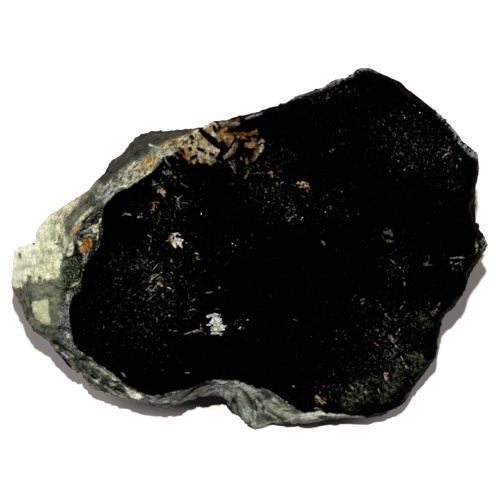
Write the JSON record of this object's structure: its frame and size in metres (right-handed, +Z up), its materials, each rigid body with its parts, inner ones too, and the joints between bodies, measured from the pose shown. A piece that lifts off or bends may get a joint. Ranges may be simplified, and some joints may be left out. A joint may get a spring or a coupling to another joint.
{
  "type": "aegirine crystal specimen",
  "caption": "Loose wedge-shaped mineral specimen: a near-black aegirine mass, flat on its upper side, with a rough cream and grey-green rind on its left and front flanks.",
  "frame": {"origin": "middle of the stone's own box, on the surface it rests on", "axes": "+X along the stone's length to its pointed right-hand tip, +Y to its thick back edge, +Z up through the flat black face"},
  "size_m": [0.0952, 0.0722, 0.0222],
  "materials": {
    "aegirine_and_rind": "near-black crystal on the flat face and the plain walls, dull cream to grey-green rind on the left-hand and front flanks"
  },
  "bodies": {
    "root": {"aegirine_crystal": "aegirine_and_rind"}
  },
  "joints": []
}
